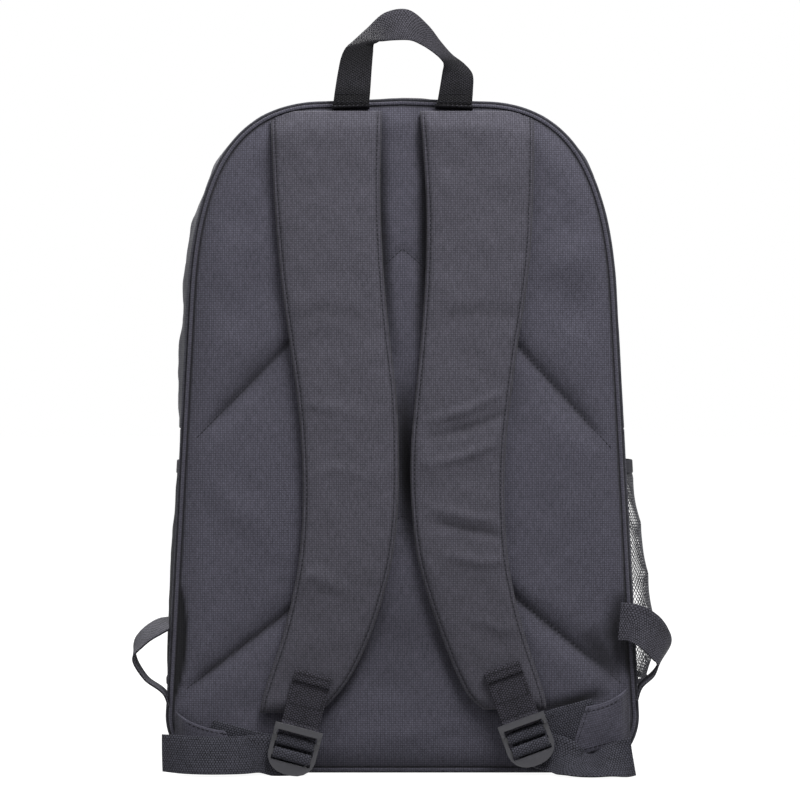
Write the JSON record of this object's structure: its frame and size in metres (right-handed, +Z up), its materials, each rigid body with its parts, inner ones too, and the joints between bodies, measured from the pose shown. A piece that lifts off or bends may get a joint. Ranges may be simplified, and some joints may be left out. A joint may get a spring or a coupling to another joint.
{
  "type": "school backpack",
  "caption": "Zipped school backpack with a padded back panel, two padded adjustable shoulder straps, a webbing haul loop, mesh side pockets and a zipped front pocket",
  "frame": {"origin": "the middle of the flat underside of the base, where the bag stands", "axes": "+Z is up, -Y points at the wearer's back, +Y points at the front pocket, and +X is to the right as the back panel is seen"},
  "size_m": [0.3582, 0.1779, 0.5054],
  "materials": {
    "shell_fabric": "coated woven polyester, matt, fine basket weave",
    "strap_fabric": "coated woven polyester over foam, matt",
    "lining": "thin plain woven lining",
    "webbing": "ribbed woven polypropylene webbing",
    "zip_tape": "fine herringbone zip tape with a moulded coil",
    "mesh": "open knitted net",
    "buckle_plastic": "moulded acetal, satin",
    "zip_metal": "painted die-cast zinc, satin",
    "board": "extruded sheet, matt"
  },
  "bodies": {
    "bag": {"back_panel": "shell_fabric", "rear_piping": "webbing", "gusset_rear": "shell_fabric", "base_panel": "shell_fabric", "side_panel_left": "shell_fabric", "side_panel_right": "shell_fabric", "zip_tape_rear": "zip_tape", "zip_end_tab_left": "webbing", "zip_end_tab_right": "webbing", "front_panel_lower": "shell_fabric", "laptop_divider": "lining", "divider_binding": "webbing", "base_board": "board", "pocket_wall": "shell_fabric", "pocket_face": "shell_fabric", "pocket_zip_tape_lower": "zip_tape", "pocket_zip_tape_upper": "zip_tape", "mesh_pocket_left": "mesh", "mesh_pocket_right": "mesh", "pocket_elastic_left": "webbing", "pocket_elastic_right": "webbing", "wing_left": "shell_fabric", "wing_right": "shell_fabric", "lead_webbing_left": "webbing", "lead_webbing_right": "webbing", "side_loop_left": "webbing", "side_loop_right": "webbing"},
    "front_leaf": {"zip_tape_front": "zip_tape", "gusset_front": "shell_fabric", "front_panel_upper": "shell_fabric"},
    "haul": {"haul_loop": "webbing"},
    "strap_left": {"shoulder_pad_left": "strap_fabric", "lock_tab_left": "webbing", "tail_webbing_left": "webbing"},
    "strap_right": {"shoulder_pad_right": "strap_fabric", "lock_tab_right": "webbing", "tail_webbing_right": "webbing"},
    "lock_left": {"ladder_lock_left": "buckle_plastic", "lock_wrap_left": "webbing"},
    "lock_right": {"ladder_lock_right": "buckle_plastic", "lock_wrap_right": "webbing"},
    "slider_left": {"main_slider_left": "zip_metal"},
    "slider_right": {"main_slider_right": "zip_metal"},
    "pull_left": {"main_pull_left": "zip_metal"},
    "pull_right": {"main_pull_right": "zip_metal"},
    "pocket_runner": {"pocket_slider": "zip_metal"},
    "pocket_tab": {"pocket_pull": "zip_metal"}
  },
  "joints": [
    {"name": "front_opens", "type": "hinge", "parent": "bag", "child": "front_leaf", "pos_m": [0, 0.056, 0.228], "axis": [-1, 0, 0], "range_deg": [0, 75]},
    {"name": "haul_folds", "type": "hinge", "parent": "bag", "child": "haul", "pos_m": [0, -0.061, 0.44265], "axis": [1, 0, 0], "range_deg": [-45, 75], "stiffness_Nm_per_rad": 0.006},
    {"name": "strap_left_lifts", "type": "hinge", "parent": "bag", "child": "strap_left", "pos_m": [-0.053, -0.0603, 0.441], "axis": [-1, 0, 0], "range_deg": [0, 12]},
    {"name": "strap_right_lifts", "type": "hinge", "parent": "bag", "child": "strap_right", "pos_m": [0.053, -0.0603, 0.441], "axis": [-1, 0, 0], "range_deg": [0, 12]},
    {"name": "lock_left_tilts", "type": "hinge", "parent": "strap_left", "child": "lock_left", "pos_m": [-0.068, -0.0723, 0.0305], "axis": [-0.9659, 0, 0.2588], "range_deg": [0, 40]},
    {"name": "lock_right_tilts", "type": "hinge", "parent": "strap_right", "child": "lock_right", "pos_m": [0.078, -0.0723, 0.036], "axis": [-0.9397, 0, -0.342], "range_deg": [0, 40]},
    {"name": "slider_left_runs", "type": "slide", "parent": "bag", "child": "slider_left", "axis": [-0.9993, 0, -0.0384], "range_m": [0, 0.036]},
    {"name": "slider_right_runs", "type": "slide", "parent": "bag", "child": "slider_right", "axis": [0.9993, 0, -0.0384], "range_m": [0, 0.036]},
    {"name": "pull_left_flips", "type": "hinge", "parent": "slider_left", "child": "pull_left", "pos_m": [-0.01018, 0.022, 0.44912], "axis": [0, 1, 0], "range_deg": [0, 150]},
    {"name": "pull_right_flips", "type": "hinge", "parent": "slider_right", "child": "pull_right", "pos_m": [0.01018, 0.022, 0.44912], "axis": [0, -1, 0], "range_deg": [0, 150]},
    {"name": "pocket_runner_runs", "type": "slide", "parent": "bag", "child": "pocket_runner", "axis": [1, 0, 0], "range_m": [0, 0.16]},
    {"name": "pocket_tab_flips", "type": "hinge", "parent": "pocket_runner", "child": "pocket_tab", "pos_m": [-0.0814, 0.0885, 0.166], "axis": [0, 0, -1], "range_deg": [0, 150]}
  ]
}
